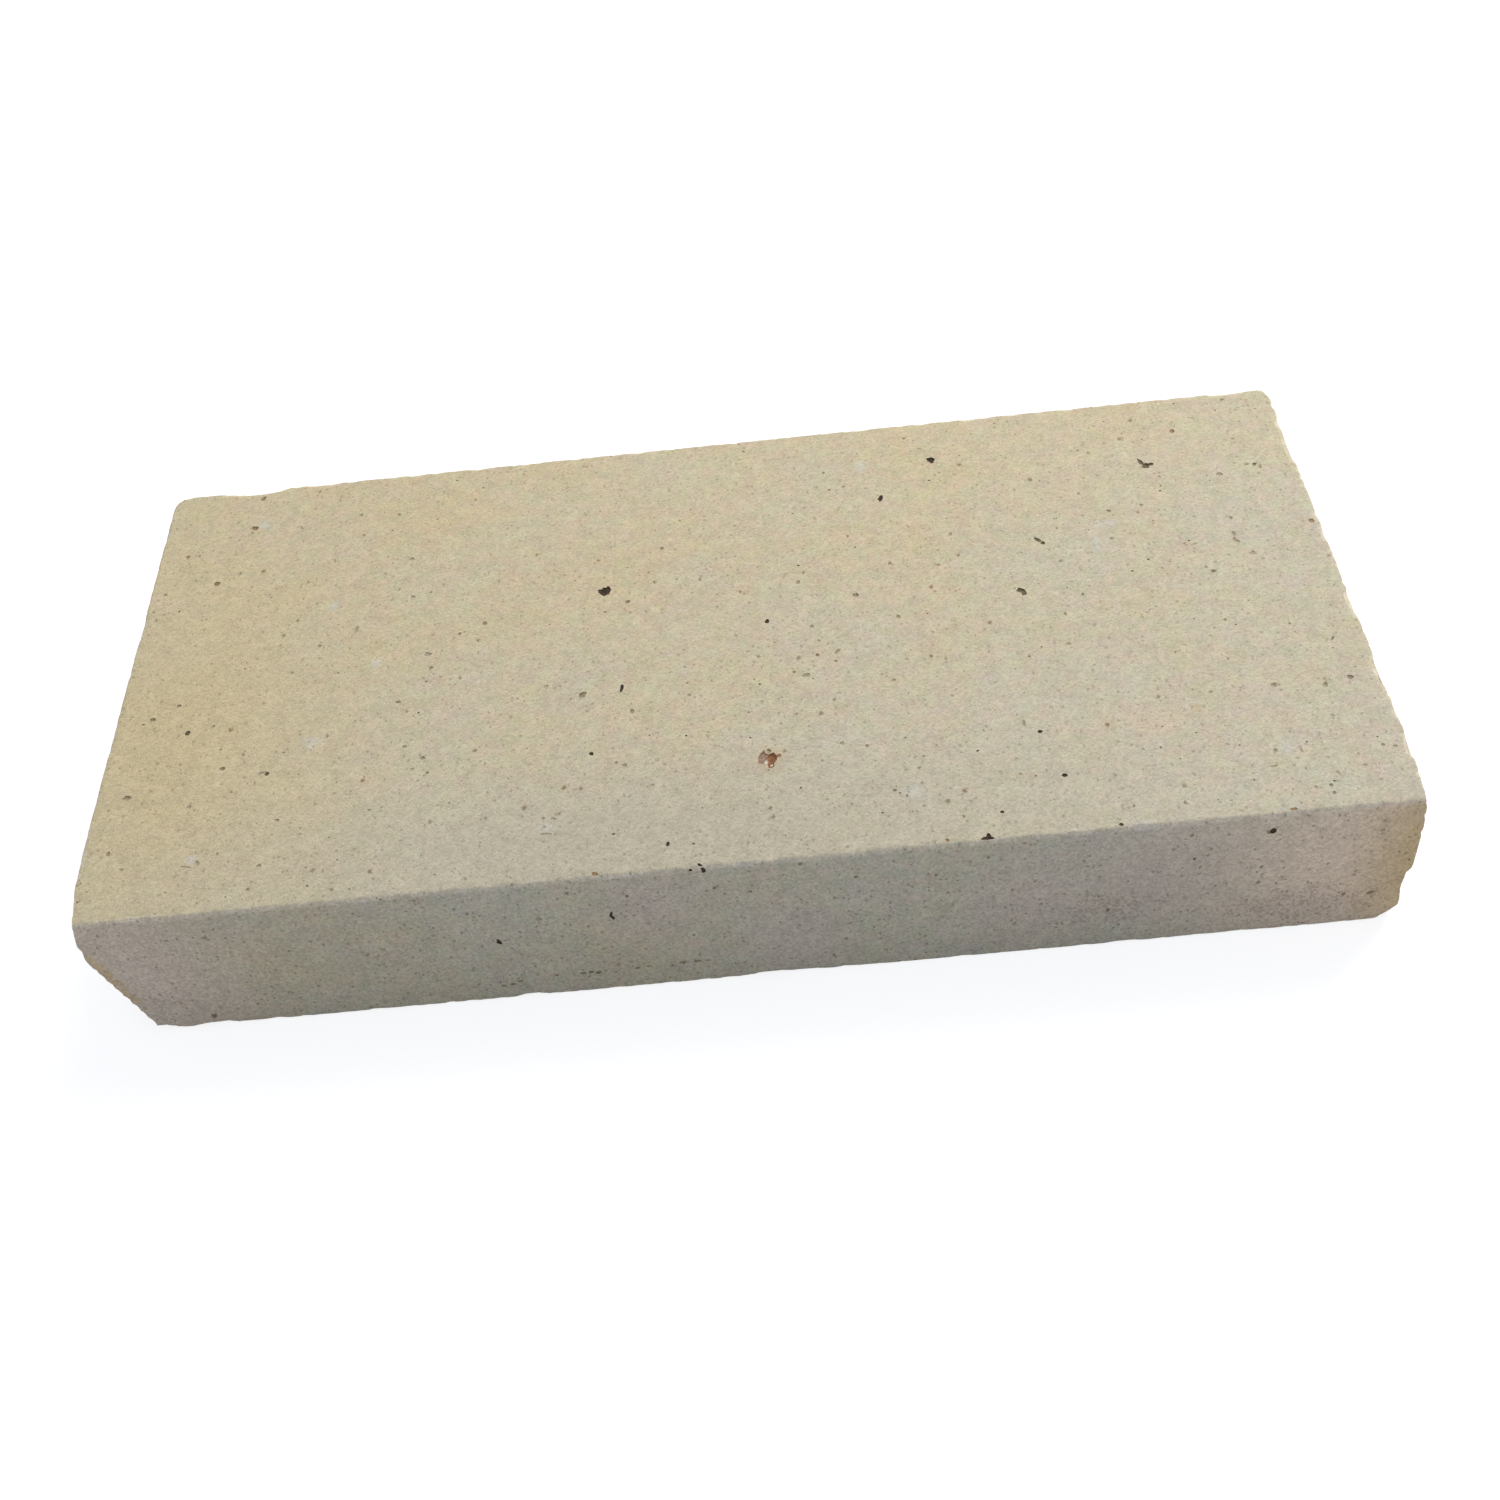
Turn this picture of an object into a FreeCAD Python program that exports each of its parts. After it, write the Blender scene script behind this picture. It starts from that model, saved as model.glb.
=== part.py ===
import FreeCAD, Part
import os

import Sketcher

# Refractory firebrick, the thin split of the nine-inch series: one block of dense fireclay, pressed in a
# steel mould and fired, with four knocked corners and flakes off its edges.
# Millimetres. +X runs along the length, +Y across the width from front to back, +Z up.
# The origin is the middle of the bed face that the brick lies on.

NODE = "firebrick"

# Every size of the brick, in the order in which the brick is made and then knocked about.
SIZES = {
    # The pressed block.
    "brick_length": 230.0,
    "brick_width": 114.0,
    "brick_height": 32.0,
    # The four upright edges, each worn by a different amount.
    "front_left_upright_radius": 1.2,
    "front_right_upright_radius": 0.65,
    "back_left_upright_radius": 3.5,
    "back_right_upright_radius": 2.5,
    # The long and short edges of both bed faces.
    "arris_radius": 0.6,
    # The tall break off the front left bottom corner: along the upright, the front and the end.
    "left_foot_break_height": 23.5,
    "left_foot_break_run": 6.75,
    "left_foot_break_reach": 9.5,
    # The small break off the front right bottom corner.
    "right_foot_break_height": 4.7,
    "right_foot_break_run": 4.8,
    "right_foot_break_reach": 6.0,
    # The knocks on the two front top corners, thin slices along the end.
    "left_top_break_height": 8.0,
    "left_top_break_run": 1.7,
    "left_top_break_reach": 12.0,
    "right_top_break_height": 6.5,
    "right_top_break_run": 0.9,
    "right_top_break_reach": 10.0,
    # How far a flake's hollow is centred outside its edge, in depths of that flake: more is shallower.
    "flake_standoff": 1.0,
    # The ragged foot beside the tall break: two flakes on the front bottom edge, placed from the left end.
    "foot_flake_place": 6.8,
    "foot_flake_half_length": 3.6,
    "foot_flake_inset": 1.25,
    "foot_flake_depth": 1.3,
    "heel_flake_place": 17.0,
    "heel_flake_half_length": 5.0,
    "heel_flake_inset": 0.9,
    "heel_flake_depth": 0.9,
    # The nick in the left half of the front bottom edge, placed from the left end.
    "left_nick_place": 74.7,
    "left_nick_half_length": 3.5,
    "left_nick_inset": 0.9,
    "left_nick_depth": 0.9,
    # The nick in the right half of the front bottom edge, placed from the right end.
    "right_nick_place": 112.0,
    "right_nick_half_length": 5.0,
    "right_nick_inset": 0.9,
    "right_nick_depth": 0.9,
    # The long flake off the back top edge, placed from the left end.
    "back_flake_place": 17.5,
    "back_flake_half_length": 7.5,
    "back_flake_inset": 2.0,
    "back_flake_depth": 1.2,
    # The flake off the right end's top edge, placed from the front face.
    "end_flake_place": 26.0,
    "end_flake_half_length": 4.5,
    "end_flake_inset": 1.0,
    "end_flake_depth": 0.8,
    # The spall on the front right upright, placed from the bed that the brick lies on.
    "upright_spall_place": 8.5,
    "upright_spall_half_length": 6.2,
    "upright_spall_inset": 1.2,
    "upright_spall_depth": 6.0,
}

LEFT = "-sizes.brick_length / 2"
RIGHT = "sizes.brick_length / 2"
FRONT = "-sizes.brick_width / 2"
BACK = "sizes.brick_width / 2"
BED = "0"
TOP = "sizes.brick_height"

# A flake is cut by an ellipsoid centred outside the edge. These factors make it meet both faces at the
# flake's own inset, depth and half length, whatever the standoff is.
ACROSS = "sqrt(sizes.flake_standoff^2 + (sizes.flake_standoff + 1)^2)"
ALONG = "sqrt((sizes.flake_standoff^2 + (sizes.flake_standoff + 1)^2) / (2 * sizes.flake_standoff + 1))"

CLOSE = 1e-6


def write_sizes(doc):
    """Put every size in the sheet, one row each, under its own name."""
    sheet = doc.addObject("Spreadsheet::Sheet", "sizes")
    for row, (name, value) in enumerate(SIZES.items(), start=1):
        sheet.set(f"A{row}", name.replace("_", " "))
        sheet.set(f"B{row}", str(value))
        sheet.setAlias(f"B{row}", name)
    doc.recompute()


def origin_plane(body, role):
    """Return the body's own origin plane with the given role."""
    return next(plane for plane in body.Origin.OriginFeatures if plane.Role == role)


def press_block(body):
    """Press the plain block: a rectangle centred on the origin, raised to the brick's height."""
    outline = body.newObject("Sketcher::SketchObject", "bed_outline")
    outline.AttachmentSupport = [(origin_plane(body, "XY_Plane"), "")]
    outline.MapMode = "FlatFace"

    half_length = SIZES["brick_length"] / 2
    half_width = SIZES["brick_width"] / 2
    corners = [
        FreeCAD.Vector(-half_length, -half_width, 0),
        FreeCAD.Vector(half_length, -half_width, 0),
        FreeCAD.Vector(half_length, half_width, 0),
        FreeCAD.Vector(-half_length, half_width, 0),
    ]
    sides = range(len(corners))
    for side in sides:
        outline.addGeometry(Part.LineSegment(corners[side], corners[(side + 1) % len(corners)]))
    for side in sides:
        outline.addConstraint(Sketcher.Constraint("Coincident", side, 2, (side + 1) % len(corners), 1))
    front_side, right_side, back_side, left_side = sides
    for side in (front_side, back_side):
        outline.addConstraint(Sketcher.Constraint("Horizontal", side))
    for side in (right_side, left_side):
        outline.addConstraint(Sketcher.Constraint("Vertical", side))
    outline.addConstraint(Sketcher.Constraint("Symmetric", front_side, 1, back_side, 1, -1, 1))
    along = Sketcher.Constraint("DistanceX", front_side, 1, front_side, 2, SIZES["brick_length"])
    across = Sketcher.Constraint("DistanceY", right_side, 1, right_side, 2, SIZES["brick_width"])
    outline.setExpression(f"Constraints[{outline.addConstraint(along)}]", "sizes.brick_length")
    outline.setExpression(f"Constraints[{outline.addConstraint(across)}]", "sizes.brick_width")

    block = body.newObject("PartDesign::Pad", "pressed_block")
    block.Profile = outline
    block.setExpression("Length", "sizes.brick_height")
    body.Document.recompute()


def round_edges(body, name, wanted, radius):
    """Fillet every edge of the brick so far that the test picks, to the named radius."""
    base = body.Tip
    picked = [f"Edge{number}" for number, edge in enumerate(base.Shape.Edges, start=1) if wanted(edge)]
    fillet = body.newObject("PartDesign::Fillet", name)
    fillet.Base = (base, picked)
    fillet.setExpression("Radius", radius)
    body.Document.recompute()


def round_uprights(body):
    """Round the four upright edges, each by its own radius."""
    for end, x_side in (("left", -1), ("right", 1)):
        for face, y_side in (("front", -1), ("back", 1)):

            def is_this_upright(edge):
                box = edge.BoundBox
                stands = box.XLength < CLOSE and box.YLength < CLOSE
                return stands and box.XMin * x_side > 0 and box.YMin * y_side > 0

            name = f"{face}_{end}_upright"
            round_edges(body, name, is_this_upright, f"sizes.{name}_radius")


def round_arrises(body):
    """Round the edges all round both bed faces."""

    def lies_flat(edge):
        return edge.BoundBox.ZLength < CLOSE

    round_edges(body, "worn_arrises", lies_flat, "sizes.arris_radius")


def place_point(body, name, x, y, z):
    """Add a datum point whose three coordinates are expressions."""
    point = body.newObject("PartDesign::Point", name)
    for axis, value in (("x", x), ("y", y), ("z", z)):
        point.setExpression(f"Placement.Base.{axis}", value)
    return point


def break_corner(body, name, end, inward, bed, along_upright):
    """Break off a front corner along the plane through a point on each of its three edges.

    The plane passes the upright at the break's height from the bed, the front edge at its run and the
    end's edge at its reach, and all that lies outside it comes off.
    """
    size = f"sizes.{name}"
    on_upright = place_point(body, f"{name}_on_upright", end, FRONT, f"{bed} {along_upright} {size}_height")
    on_front = place_point(body, f"{name}_on_front", f"{end} {inward} {size}_run", FRONT, bed)
    on_end = place_point(body, f"{name}_on_end", end, f"{FRONT} + {size}_reach", bed)
    body.Document.recompute()

    # Taken in this order, the three points turn the plane's normal away from the brick.
    left_handed = inward == along_upright
    points = [on_upright, on_end, on_front] if left_handed else [on_upright, on_front, on_end]
    plane = body.newObject("PartDesign::Plane", f"{name}_plane")
    plane.AttachmentSupport = [(point, "") for point in points]
    plane.MapMode = "ThreePointsPlane"

    disc = body.newObject("Sketcher::SketchObject", f"{name}_disc")
    disc.AttachmentSupport = [(plane, "")]
    disc.MapMode = "FlatFace"
    disc.addGeometry(Part.Circle(FreeCAD.Vector(), FreeCAD.Vector(0, 0, 1), SIZES[f"{name}_reach"]))
    disc.addConstraint(Sketcher.Constraint("Coincident", 0, 3, -1, 1))
    radius = disc.addConstraint(Sketcher.Constraint("Radius", 0, SIZES[f"{name}_reach"]))
    whole_break = f"2 * ({size}_height + {size}_run + {size}_reach)"
    disc.setExpression(f"Constraints[{radius}]", whole_break)

    cut = body.newObject("PartDesign::Pocket", name)
    cut.Profile = disc
    cut.Reversed = True
    cut.setExpression("Length", whole_break)
    body.Document.recompute()


def strike_flake(body, name, centre, half_axes):
    """Cut a shallow hollow: part of an ellipsoid, with its centre and half axes as x, y, z expressions."""
    hollow = body.newObject("PartDesign::SubtractiveEllipsoid", name)
    hollow.AttachmentSupport = [(origin_plane(body, "XY_Plane"), "")]
    hollow.MapMode = "FlatFace"
    for axis, value in zip("xyz", centre):
        hollow.setExpression(f"AttachmentOffset.Base.{axis}", value)
    for radius, value in zip(("Radius2", "Radius3", "Radius1"), half_axes):
        hollow.setExpression(radius, value)
    body.Document.recompute()


def flake_long_edge(body, name, place, face, outward, bed, downward):
    """Strike a flake off an edge that runs along the length."""
    size = f"sizes.{name}"
    centre = (
        place,
        f"{face} {outward} sizes.flake_standoff * {size}_inset",
        f"{bed} {downward} sizes.flake_standoff * {size}_depth",
    )
    half_axes = (f"{size}_half_length * {ALONG}", f"{size}_inset * {ACROSS}", f"{size}_depth * {ACROSS}")
    strike_flake(body, name, centre, half_axes)


def strike_flakes(body):
    """Strike every flake that shows: four on the front foot, two on the top, one on an upright."""
    flake_long_edge(body, "foot_flake", f"{LEFT} + sizes.foot_flake_place", FRONT, "-", BED, "-")
    flake_long_edge(body, "heel_flake", f"{LEFT} + sizes.heel_flake_place", FRONT, "-", BED, "-")
    flake_long_edge(body, "left_nick", f"{LEFT} + sizes.left_nick_place", FRONT, "-", BED, "-")
    flake_long_edge(body, "right_nick", f"{RIGHT} - sizes.right_nick_place", FRONT, "-", BED, "-")
    flake_long_edge(body, "back_flake", f"{LEFT} + sizes.back_flake_place", BACK, "+", TOP, "+")

    strike_flake(
        body,
        "end_flake",
        (
            f"{RIGHT} + sizes.flake_standoff * sizes.end_flake_inset",
            f"{FRONT} + sizes.end_flake_place",
            f"{TOP} + sizes.flake_standoff * sizes.end_flake_depth",
        ),
        (
            f"sizes.end_flake_inset * {ACROSS}",
            f"sizes.end_flake_half_length * {ALONG}",
            f"sizes.end_flake_depth * {ACROSS}",
        ),
    )
    strike_flake(
        body,
        "upright_spall",
        (
            f"{RIGHT} + sizes.flake_standoff * sizes.upright_spall_inset",
            f"{FRONT} - sizes.flake_standoff * sizes.upright_spall_depth",
            "sizes.upright_spall_place",
        ),
        (
            f"sizes.upright_spall_inset * {ACROSS}",
            f"sizes.upright_spall_depth * {ACROSS}",
            f"sizes.upright_spall_half_length * {ALONG}",
        ),
    )


def check_document(doc, body):
    """Stop if anything failed, if the brick isn't one valid solid, or if a cut took nothing off."""
    for made in doc.Objects:
        if "Invalid" in made.State or "Error" in made.State:
            raise RuntimeError(f"{made.Label} failed: {made.State}")
    if body.Shape.isNull() or not body.Shape.isValid() or len(body.Shape.Solids) != 1:
        raise RuntimeError("the brick isn't one valid solid")
    cuts = [made for made in body.Group if hasattr(made, "BaseFeature") and made.BaseFeature]
    for cut in cuts:
        taken = cut.BaseFeature.Shape.cut(cut.Shape).Volume
        print(f"{cut.Label} takes off {taken:.2f} cubic mm")
        if taken <= CLOSE:
            raise RuntimeError(f"{cut.Label} takes nothing off")


def build():
    """Build the firebrick and write its solid."""
    doc = FreeCAD.newDocument("refractory_firebrick")
    write_sizes(doc)
    body = doc.addObject("PartDesign::Body", NODE)
    body.Label = NODE
    press_block(body)
    round_uprights(body)
    round_arrises(body)
    break_corner(body, "left_foot_break", LEFT, "+", BED, "+")
    break_corner(body, "right_foot_break", RIGHT, "-", BED, "+")
    break_corner(body, "left_top_break", LEFT, "+", TOP, "-")
    break_corner(body, "right_top_break", RIGHT, "-", TOP, "-")
    strike_flakes(body)
    doc.recompute()
    check_document(doc, body)

    box = body.Shape.optimalBoundingBox()
    print(f"{NODE} measures {box.XLength:.2f} x {box.YLength:.2f} x {box.ZLength:.2f} mm")
    print(f"{NODE} holds {body.Shape.Volume:.0f} cubic mm")
    os.makedirs("parts", exist_ok=True)
    body.Shape.exportStep(f"parts/{body.Label}.step")


build()
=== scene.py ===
# %% [markdown]
# This lesson dresses one refractory firebrick: a block of clay and crushed burnt clay that was
# pressed in a steel box and fired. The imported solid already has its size, its rounded edges, its
# broken corners and the flakes that came off its edges. What is left for this script is what a
# solid modeller is poor at: the crumbly line of the edges, the many small holes, and the sandy
# surface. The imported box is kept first, so that the finished brick can be compared with it.

import math

import bmesh
import bpy
from mathutils import Matrix, Quaternion, Vector
from mathutils.bvhtree import BVHTree


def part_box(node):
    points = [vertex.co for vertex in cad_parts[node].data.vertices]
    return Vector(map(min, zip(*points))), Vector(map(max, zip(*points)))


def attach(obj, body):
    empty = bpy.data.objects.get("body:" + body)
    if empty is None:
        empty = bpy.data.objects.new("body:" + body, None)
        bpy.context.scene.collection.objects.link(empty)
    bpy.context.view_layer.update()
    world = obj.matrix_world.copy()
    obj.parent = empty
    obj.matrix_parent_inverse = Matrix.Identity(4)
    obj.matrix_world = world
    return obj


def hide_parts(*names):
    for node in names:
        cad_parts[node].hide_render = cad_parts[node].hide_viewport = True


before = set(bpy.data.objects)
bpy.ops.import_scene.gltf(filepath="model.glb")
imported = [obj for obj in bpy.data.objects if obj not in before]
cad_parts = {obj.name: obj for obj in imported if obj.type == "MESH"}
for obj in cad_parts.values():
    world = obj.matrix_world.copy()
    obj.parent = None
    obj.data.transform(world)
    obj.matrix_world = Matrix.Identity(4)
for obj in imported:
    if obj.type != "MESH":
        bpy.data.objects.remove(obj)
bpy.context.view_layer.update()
MM = 0.001
BRICK = "firebrick"
low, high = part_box(BRICK)
size = high - low
print("brick, mm:", [round(side / MM, 2) for side in size])

# %% [markdown]
# The camera comes early, because the larger marks on the brick are placed through it. It stands
# in front of the long face and looks down on the broad one, a little turned and rolled, so that
# the front edge climbs to the right. A direction from two angles, with the roll put on last, is
# easier to read and to adjust than three Euler angles.

# %% Camera
PICTURE = 1500
SENSOR = 36.0
LENS = 43.46
LOOK_AT = Vector((3.18, -31.41, 32.0)) * MM
DISTANCE = 319.34 * MM
NEAREST_SEEN = 1 * MM
AZIMUTH, ELEVATION, ROLL = (math.radians(angle) for angle in (-2.965, 46.944, -7.616))

view_line = Vector((
    math.sin(AZIMUTH) * math.cos(ELEVATION),
    math.cos(AZIMUTH) * math.cos(ELEVATION),
    -math.sin(ELEVATION),
))
camera = bpy.data.objects.new("camera", bpy.data.cameras.new("camera"))
camera.data.sensor_width = SENSOR
camera.data.lens = LENS
camera.data.clip_start = NEAREST_SEEN
camera.location = LOOK_AT - view_line * DISTANCE
camera.rotation_mode = "QUATERNION"
camera.rotation_quaternion = view_line.to_track_quat("-Z", "Y") @ Quaternion((0, 0, 1), ROLL)
bpy.context.scene.collection.objects.link(camera)
bpy.context.scene.camera = camera
print("camera, mm:", [round(place / MM, 1) for place in camera.location])

# %% [markdown]
# A mark seen in the picture lies on the broad top or on the long front face. A straight line
# from the camera through its pixel meets that face at the mark's real place, so the numbers
# read from the picture become points on the brick, right from every side.

# %% From the picture to the brick
X, Y, Z = range(3)
FACES = {"top": (Z, high.z, Vector((0, 0, 1))), "front": (Y, low.y, Vector((0, -1, 0)))}
SEEN_CORNER = (61, 927)


def on_face(face, across, down):
    """The point of a face that shows at a pixel of the picture."""
    axis, level, _ = FACES[face]
    aside = (across - PICTURE / 2) / PICTURE * SENSOR / LENS
    upward = (PICTURE / 2 - down) / PICTURE * SENSOR / LENS
    line = camera.rotation_quaternion @ Vector((aside, upward, -1))
    return camera.location + line * ((level - camera.location[axis]) / line[axis])


print("top front left corner, mm:", [round(p / MM, 1) for p in on_face("top", *SEEN_CORNER)])

# %% [markdown]
# The edges of the brick need a fine mesh and the flat middles need almost none. Subdividing
# everything would waste hundreds of thousands of faces, so the brick gets a net instead: lines
# that crowd towards every edge, with the small cells of a sound middle gathered into blocks.
# Each crossing starts on the sharp box and slides straight towards a core well inside the
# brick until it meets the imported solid. Lines to a core never cross, so the net stays clean
# over rounds, flat breaks and hollow flakes alike.

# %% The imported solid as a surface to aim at
CORE_DEPTH = 10 * MM
DOUBLES = 0.001 * MM

packed = bmesh.new()
packed.from_mesh(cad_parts[BRICK].data)
bmesh.ops.remove_doubles(packed, verts=packed.verts, dist=DOUBLES)
solid = BVHTree.FromBMesh(packed)
print("packed solid:", len(packed.faces), "triangles")
packed.free()


def pressed_in(point):
    """Slides a point towards the core: where it meets the solid, and how deep that is."""
    core = Vector(min(max(point[a], low[a] + CORE_DEPTH), high[a] - CORE_DEPTH) for a in (X, Y, Z))
    inward = (core - point).normalized()
    landing = solid.ray_cast(point - inward * CORE_DEPTH, inward)[0]
    return landing, (landing - point).dot(inward)


# %% Lines of the net
EDGE_LINES_MM = (0, 0.15, 0.35, 0.6, 1.0, 1.5, 2.1, 2.8)
CELL_MM = 0.7
BLOCK = 8
MARGIN = len(EDGE_LINES_MM) - 1


def net_lines(axis):
    """Places of the lines along one side: crowded at both ends, even and in whole blocks between."""
    side = size[axis] / MM
    middle = side - 2 * EDGE_LINES_MM[-1]
    cells = BLOCK * round(middle / CELL_MM / BLOCK)
    even = [EDGE_LINES_MM[-1] + middle * step / cells for step in range(1, cells)]
    places = [*EDGE_LINES_MM, *even, *(side - place for place in reversed(EDGE_LINES_MM))]
    return [low[axis] + place * MM for place in places]


lines = [net_lines(axis) for axis in (X, Y, Z)]
print("net lines:", [len(places) for places in lines])

# %% [markdown]
# Two numbers go with every point of the net. "wear" says how near it lies to an edge of the
# box, weighted by how rough that edge is on the brick: the long front edges are fairly crisp,
# while the right end, the uprights and the hidden feet have crumbled. "broken" says how much
# more is gone than the edge's own rounding, which is measured where each edge is sound. It is 1
# on the broken feet and low on the top corners, which are only rubbed. Each face of the net also
# knows whether it belongs to a "wall": the four upright sides slid along the mould and came out
# with a rougher grain.

# %% Wear and breaks
FACE_NAMES = (("left", "right"), ("front", "back"), ("bed", "top"))
EDGE_REACH = 1.6 * MM
CRUMBLED = 1.0
EDGE_WEAR = {
    frozenset(("top", "front")): 0.35,
    frozenset(("top", "left")): 0.40,
    frozenset(("top", "back")): 0.50,
    frozenset(("bed", "front")): 0.35,
}
SOUND_SHARES = (0.62, 0.5, 0.85)
SOUND_PLACE = [low[a] + SOUND_SHARES[a] * size[a] for a in (X, Y, Z)]
ROUNDING_SLACK = 1.3
BREAK_START, BREAK_FULL = 0.05 * MM, 0.3 * MM
RUBBED_FROM = low.z + 0.74 * size.z
RUBBED_SHARE = 0.25


def nearest_faces(point):
    """Distance and name of the two faces of the box that are nearest to a point."""
    reach = []
    for axis, (low_name, high_name) in enumerate(FACE_NAMES):
        reach.append((point[axis] - low[axis], low_name))
        reach.append((high[axis] - point[axis], high_name))
    return sorted(reach)[:2]


def edge_wear(point):
    """1 on a crumbled edge, less on a crisp one, 0 away from the edges."""
    (_, face), (away, other_face) = nearest_faces(point)
    nearness = max(0.0, 1 - away / EDGE_REACH)
    return nearness * EDGE_WEAR.get(frozenset((face, other_face)), CRUMBLED)


def brokenness(point, depth):
    """How far a point has gone in beyond the rounding of the sound edges, from 0 to 1."""
    if depth < BREAK_START:
        return 0.0
    rounding = 0.0
    for axis in (X, Y, Z):
        sound = point.copy()
        sound[axis] = SOUND_PLACE[axis]
        rounding = max(rounding, pressed_in(sound)[1])
    share = (depth - rounding * ROUNDING_SLACK - BREAK_START) / (BREAK_FULL - BREAK_START)
    return min(max(share, 0.0), 1.0) * (RUBBED_SHARE if point.z > RUBBED_FROM else 1.0)


# %% Crossings of the net
net = bmesh.new()
wear_layer = net.verts.layers.float.new("wear")
broken_layer = net.verts.layers.float.new("broken")
wall_layer = net.faces.layers.float.new("wall")
knots = {}
SOUND_DEPTH = 0.01 * MM


def box_point(key):
    """The place of a crossing on the sharp box."""
    return Vector(lines[axis][step] for axis, step in enumerate(key))


def knot(key):
    """The vertex of a crossing, made on first use."""
    if key not in knots:
        point = box_point(key)
        landing, depth = pressed_in(point)
        knots[key] = net.verts.new(landing)
        knots[key][wear_layer] = edge_wear(point)
        knots[key][broken_layer] = brokenness(point, depth)
    return knots[key]


def crossing(axis, side, first, second):
    """The key of a crossing on one side of the box, by its steps along that side's two axes."""
    key = [0, 0, 0]
    key[axis] = side
    key[(axis + 1) % 3] = first
    key[(axis + 2) % 3] = second
    return tuple(key)


# %% Cells and blocks
def block_steps(axis):
    """The steps at which the blocks between the margins of one axis start."""
    return range(MARGIN, len(lines[axis]) - 1 - MARGIN, BLOCK)


def is_sound(axis, side, first, second):
    """True where the solid fills the box under a whole block."""
    halves = (0, BLOCK // 2, BLOCK)
    keys = [crossing(axis, side, first + a, second + b) for a in halves for b in halves]
    return all(pressed_in(box_point(key))[1] < SOUND_DEPTH for key in keys)


def small_cells(axis, side, sound_blocks):
    """Fills one side of the box with small cells, apart from its sound blocks."""
    taken = {(a + i, b + j) for a, b in sound_blocks for i in range(BLOCK) for j in range(BLOCK)}
    for a in range(len(lines[(axis + 1) % 3]) - 1):
        for b in range(len(lines[(axis + 2) % 3]) - 1):
            if (a, b) not in taken:
                corners = ((a, b), (a + 1, b), (a + 1, b + 1), (a, b + 1))
                cell = net.faces.new([knot(crossing(axis, side, *corner)) for corner in corners])
                cell[wall_layer] = axis != Z


def block_rim(a, b):
    """The crossings round a block, in order."""
    there = [(a + step, b) for step in range(BLOCK)]
    up = [(a + BLOCK, b + step) for step in range(BLOCK)]
    back = [(a + BLOCK - step, b + BLOCK) for step in range(BLOCK)]
    down = [(a, b + BLOCK - step) for step in range(BLOCK)]
    return there + up + back + down


# %% The net as a mesh
sides = [(axis, side) for axis in (X, Y, Z) for side in (0, len(lines[axis]) - 1)]
blocks = {}
for axis, side in sides:
    starts = [(a, b) for a in block_steps((axis + 1) % 3) for b in block_steps((axis + 2) % 3)]
    blocks[axis, side] = [start for start in starts if is_sound(axis, side, *start)]
    small_cells(axis, side, blocks[axis, side])
    for a, b in blocks[axis, side]:
        for corner in ((a, b), (a + BLOCK, b), (a + BLOCK, b + BLOCK), (a, b + BLOCK)):
            knot(crossing(axis, side, *corner))
for axis, side in sides:
    for start in blocks[axis, side]:
        rim = [crossing(axis, side, *step) for step in block_rim(*start)]
        block = net.faces.new([knots[key] for key in rim if key in knots])
        block[wall_layer] = axis != Z
bmesh.ops.recalc_face_normals(net, faces=net.faces)

brick = bpy.data.objects.new("brick", bpy.data.meshes.new("brick"))
net.to_mesh(brick.data)
bpy.context.scene.collection.objects.link(brick)
print("net:", len(net.verts), "points,", len(net.faces), "faces,",
      sum(not edge.is_manifold for edge in net.edges), "open edges")
net.free()

# %% [markdown]
# From here on trees of nodes do the work, so a few helpers keep them short: one adds a node and
# feeds its inputs, others do sums on numbers and on vectors, and one runs a finished tree on the
# brick, keeps the result as a plain mesh and takes the modifier off again.

# %% Helpers for node trees
def feed(tree, socket, value):
    """Links a socket to another node's output, or sets it to a plain value."""
    if isinstance(value, bpy.types.NodeSocket):
        tree.links.new(value, socket)
    else:
        socket.default_value = value


def put(tree, kind, inputs=None, **settings):
    """Adds a node with its settings and feeds its inputs, by name or by number."""
    node = tree.nodes.new(kind)
    for name, value in settings.items():
        setattr(node, name, value)
    for name, value in (inputs or {}).items():
        feed(tree, node.inputs[name], value)
    return node


def sums(tree, operation, *values, **settings):
    """A sum on numbers or sockets."""
    inputs = dict(enumerate(values))
    return put(tree, "ShaderNodeMath", inputs, operation=operation, **settings).outputs[0]


def vectors(tree, operation, *values):
    """The same on vectors."""
    inputs = dict(enumerate(values))
    return put(tree, "ShaderNodeVectorMath", inputs, operation=operation).outputs[0]


def scaled(tree, vector, factor):
    """A vector made longer or shorter, or turned round by a factor below 0."""
    inputs = {0: vector, "Scale": factor}
    return put(tree, "ShaderNodeVectorMath", inputs, operation="SCALE").outputs[0]


def span(tree, value, start, end, to_start=0.0, to_end=1.0):
    """Turns a range of values into another one, smoothly and without overshoot."""
    ends = {"From Min": start, "From Max": end, "To Min": to_start, "To Max": to_end}
    return put(
        tree, "ShaderNodeMapRange", {"Value": value, **ends}, interpolation_type="SMOOTHSTEP"
    ).outputs[0]


def carried(tree, name, kind="FLOAT"):
    """A named value that each point or face of a geometry carries."""
    node = put(tree, "GeometryNodeInputNamedAttribute", {"Name": name}, data_type=kind)
    return node.outputs["Attribute"]


def new_tree(name, inputs, outputs, kind="GeometryNodeTree"):
    """An empty tree, the sockets that bring its values in and those that take them out."""
    tree = bpy.data.node_groups.new(name, kind)
    for in_out, sockets in (("INPUT", inputs), ("OUTPUT", outputs)):
        for label, socket_type in sockets.items():
            tree.interface.new_socket(label, in_out=in_out, socket_type="NodeSocket" + socket_type)
    return tree, put(tree, "NodeGroupInput").outputs, put(tree, "NodeGroupOutput").inputs


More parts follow.
